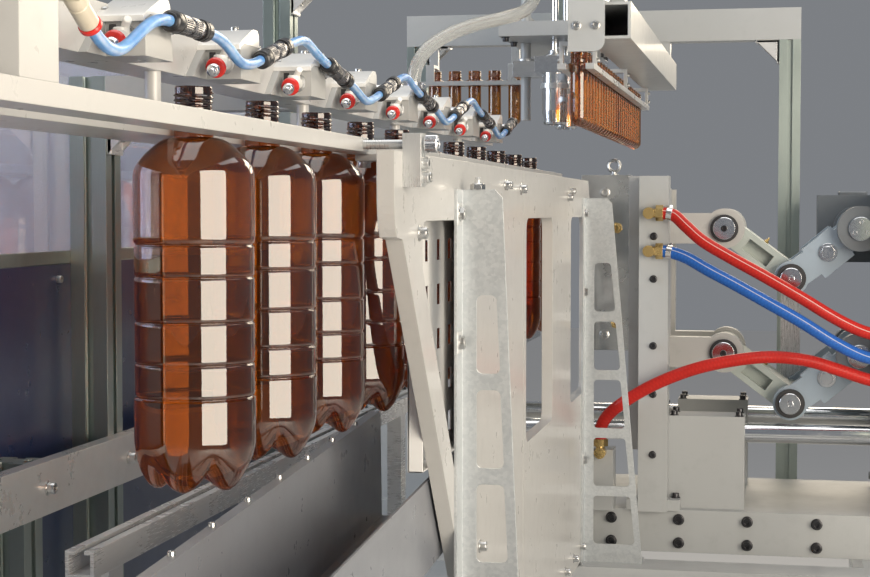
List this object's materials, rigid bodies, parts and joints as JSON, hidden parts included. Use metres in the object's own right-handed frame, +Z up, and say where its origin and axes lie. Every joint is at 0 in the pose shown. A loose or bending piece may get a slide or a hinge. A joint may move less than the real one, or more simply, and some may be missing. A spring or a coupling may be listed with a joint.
{
  "type": "blow moulding machine",
  "caption": "Linear stretch blow moulding machine with toggle clamp, blow head, overhead preform rails and neck rails carrying amber bottles under a valve manifold.",
  "frame": {"origin": "on the floor under the middle of the machine", "axes": "+Y along the bottle row towards the mould clamp, +X towards the side wall, +Z up"},
  "size_m": [1.208, 2.6878, 1.851],
  "materials": {
    "base_paint": "semi-gloss pale grey enamel",
    "warm_paint": "semi-gloss warm pale grey enamel",
    "zinc": "zinc plated sheet",
    "steel": "brushed steel",
    "dark_steel": "dark cast iron",
    "chrome": "bright chrome",
    "white_plastic": "satin white plastic",
    "beige_plastic": "gloss beige plastic",
    "red_plastic": "gloss red plastic",
    "black_plastic": "matte black plastic",
    "blue_tube": "clear light blue tube",
    "aluminium": "milled aluminium",
    "green_grey": "grey-green anodised profile",
    "amber_pet": "deep amber PET",
    "gold_pet": "golden amber PET",
    "red_hose": "red water hose",
    "blue_hose": "blue water hose",
    "clear_hose": "clear reinforced hose",
    "brass": "brass",
    "lever_paint": "blue-grey enamel",
    "link_paint": "light grey-green enamel",
    "navy_panel": "navy enamel",
    "mould_metal": "machined mould aluminium",
    "machine_grey": "grey gearbox enamel"
  },
  "bodies": {
    "machine_frame": {"side_rails": "base_paint", "cross_rails": "base_paint", "legs": "base_paint", "levelling_feet": "dark_steel", "wall_sill": "base_paint", "wall_plate_front": "warm_paint", "wall_plate_rear": "warm_paint", "slotted_sheet": "base_paint", "gusset_front": "zinc", "gusset_rear": "zinc", "discharge_chute": "steel", "near_rail": "warm_paint", "far_rail": "warm_paint", "rail_brackets": "warm_paint", "rail_clamp": "steel", "upper_beam": "warm_paint", "valve_blocks": "white_plastic", "block_fittings": "beige_plastic", "release_rings": "red_plastic", "coupling_bodies": "chrome", "coupling_collars": "black_plastic", "tube_links": "blue_tube", "gantry_posts": "green_grey", "gantry_arms": "base_paint", "overhead_beam": "base_paint", "preform_rails": "steel", "preforms": "gold_pet", "rear_rail": "steel", "guide_profile": "aluminium", "bottles": "amber_pet", "red_hose_upper": "red_hose", "blue_hose": "blue_hose", "red_hose_lower": "red_hose", "clear_hose": "clear_hose", "manifold_blocks": "base_paint", "hose_fittings": "brass", "head_plate": "base_paint", "guard_panel": "navy_panel", "clamp_bed": "base_paint", "guide_bars": "chrome", "toggle_anchors": "machine_grey", "drive_units": "machine_grey"},
    "clamp_knob": {"clamp_knob": "steel"},
    "nozzle_carriage": {"nozzle_carriage": "chrome"},
    "stretch_rods": {"stretch_rods": "steel"},
    "platen_right": {"platen_right": "warm_paint", "mould_half_right": "mould_metal"},
    "front_link_upper_right": {"front_link_upper_right": "link_paint"},
    "front_link_lower_right": {"front_link_lower_right": "link_paint"},
    "rear_lever_upper_right": {"rear_lever_upper_right": "lever_paint"},
    "rear_lever_lower_right": {"rear_lever_lower_right": "lever_paint"},
    "tie_bar_right": {"tie_bar_right": "steel"},
    "platen_left": {"platen_left": "warm_paint", "mould_half_left": "mould_metal"},
    "front_link_upper_left": {"front_link_upper_left": "link_paint"},
    "front_link_lower_left": {"front_link_lower_left": "link_paint"},
    "rear_lever_upper_left": {"rear_lever_upper_left": "lever_paint"},
    "rear_lever_lower_left": {"rear_lever_lower_left": "lever_paint"},
    "tie_bar_left": {"tie_bar_left": "steel"}
  },
  "joints": [
    {"name": "clamp_drive_right", "type": "hinge", "parent": "machine_frame", "child": "rear_lever_upper_right", "pos_m": [0.516, 1.005, 1.072], "axis": [0, 1, 0], "range_deg": [0, 36.86]},
    {"name": "front_link_upper_turn_right", "type": "hinge", "parent": "rear_lever_upper_right", "child": "front_link_upper_right", "pos_m": [0.404, 1.005, 0.988], "axis": [0, 1, 0], "range_deg": [-73.72, 0]},
    {"name": "platen_turn_right", "type": "hinge", "parent": "front_link_upper_right", "child": "platen_right", "pos_m": [0.292, 1.005, 1.072], "axis": [0, 1, 0], "range_deg": [0, 36.86]},
    {"name": "rear_lever_lower_turn_right", "type": "hinge", "parent": "machine_frame", "child": "rear_lever_lower_right", "pos_m": [0.516, 1.005, 0.86], "axis": [0, 1, 0], "range_deg": [0, 36.86]},
    {"name": "front_link_lower_turn_right", "type": "hinge", "parent": "rear_lever_lower_right", "child": "front_link_lower_right", "pos_m": [0.404, 1.005, 0.776], "axis": [0, 1, 0], "range_deg": [-73.72, 0]},
    {"name": "tie_bar_turn_right", "type": "hinge", "parent": "rear_lever_upper_right", "child": "tie_bar_right", "pos_m": [0.404, 1.005, 0.988], "axis": [0, 1, 0], "range_deg": [-36.86, 0]},
    {"name": "clamp_drive_left", "type": "hinge", "parent": "machine_frame", "child": "rear_lever_upper_left", "pos_m": [-0.516, 1.005, 1.072], "axis": [0, -1, 0], "range_deg": [0, 36.86]},
    {"name": "front_link_upper_turn_left", "type": "hinge", "parent": "rear_lever_upper_left", "child": "front_link_upper_left", "pos_m": [-0.404, 1.005, 0.988], "axis": [0, -1, 0], "range_deg": [-73.72, 0]},
    {"name": "platen_turn_left", "type": "hinge", "parent": "front_link_upper_left", "child": "platen_left", "pos_m": [-0.292, 1.005, 1.072], "axis": [0, -1, 0], "range_deg": [0, 36.86]},
    {"name": "rear_lever_lower_turn_left", "type": "hinge", "parent": "machine_frame", "child": "rear_lever_lower_left", "pos_m": [-0.516, 1.005, 0.86], "axis": [0, -1, 0], "range_deg": [0, 36.86]},
    {"name": "front_link_lower_turn_left", "type": "hinge", "parent": "rear_lever_lower_left", "child": "front_link_lower_left", "pos_m": [-0.404, 1.005, 0.776], "axis": [0, -1, 0], "range_deg": [-73.72, 0]},
    {"name": "tie_bar_turn_left", "type": "hinge", "parent": "rear_lever_upper_left", "child": "tie_bar_left", "pos_m": [-0.404, 1.005, 0.988], "axis": [0, -1, 0], "range_deg": [-36.86, 0]},
    {"name": "nozzle_slide", "type": "slide", "parent": "machine_frame", "child": "nozzle_carriage", "axis": [0, 0, -1], "range_m": [0, 0.065]},
    {"name": "stretch_slide", "type": "slide", "parent": "machine_frame", "child": "stretch_rods", "axis": [0, 0, -1], "range_m": [0, 0.33]},
    {"name": "knob_turn", "type": "hinge", "parent": "machine_frame", "child": "clamp_knob", "pos_m": [0.093, -0.608, 1.157], "axis": [1, 0, 0], "continuous": true}
  ],
  "couplings": [
    {"joint": "front_link_upper_turn_right", "follows": "clamp_drive_right", "ratio": -2},
    {"joint": "platen_turn_right", "follows": "clamp_drive_right", "ratio": 1},
    {"joint": "rear_lever_lower_turn_right", "follows": "clamp_drive_right", "ratio": 1},
    {"joint": "front_link_lower_turn_right", "follows": "clamp_drive_right", "ratio": -2},
    {"joint": "tie_bar_turn_right", "follows": "clamp_drive_right", "ratio": -1},
    {"joint": "clamp_drive_left", "follows": "clamp_drive_right", "ratio": 1},
    {"joint": "front_link_upper_turn_left", "follows": "clamp_drive_right", "ratio": -2},
    {"joint": "platen_turn_left", "follows": "clamp_drive_right", "ratio": 1},
    {"joint": "rear_lever_lower_turn_left", "follows": "clamp_drive_right", "ratio": 1},
    {"joint": "front_link_lower_turn_left", "follows": "clamp_drive_right", "ratio": -2},
    {"joint": "tie_bar_turn_left", "follows": "clamp_drive_right", "ratio": -1}
  ]
}
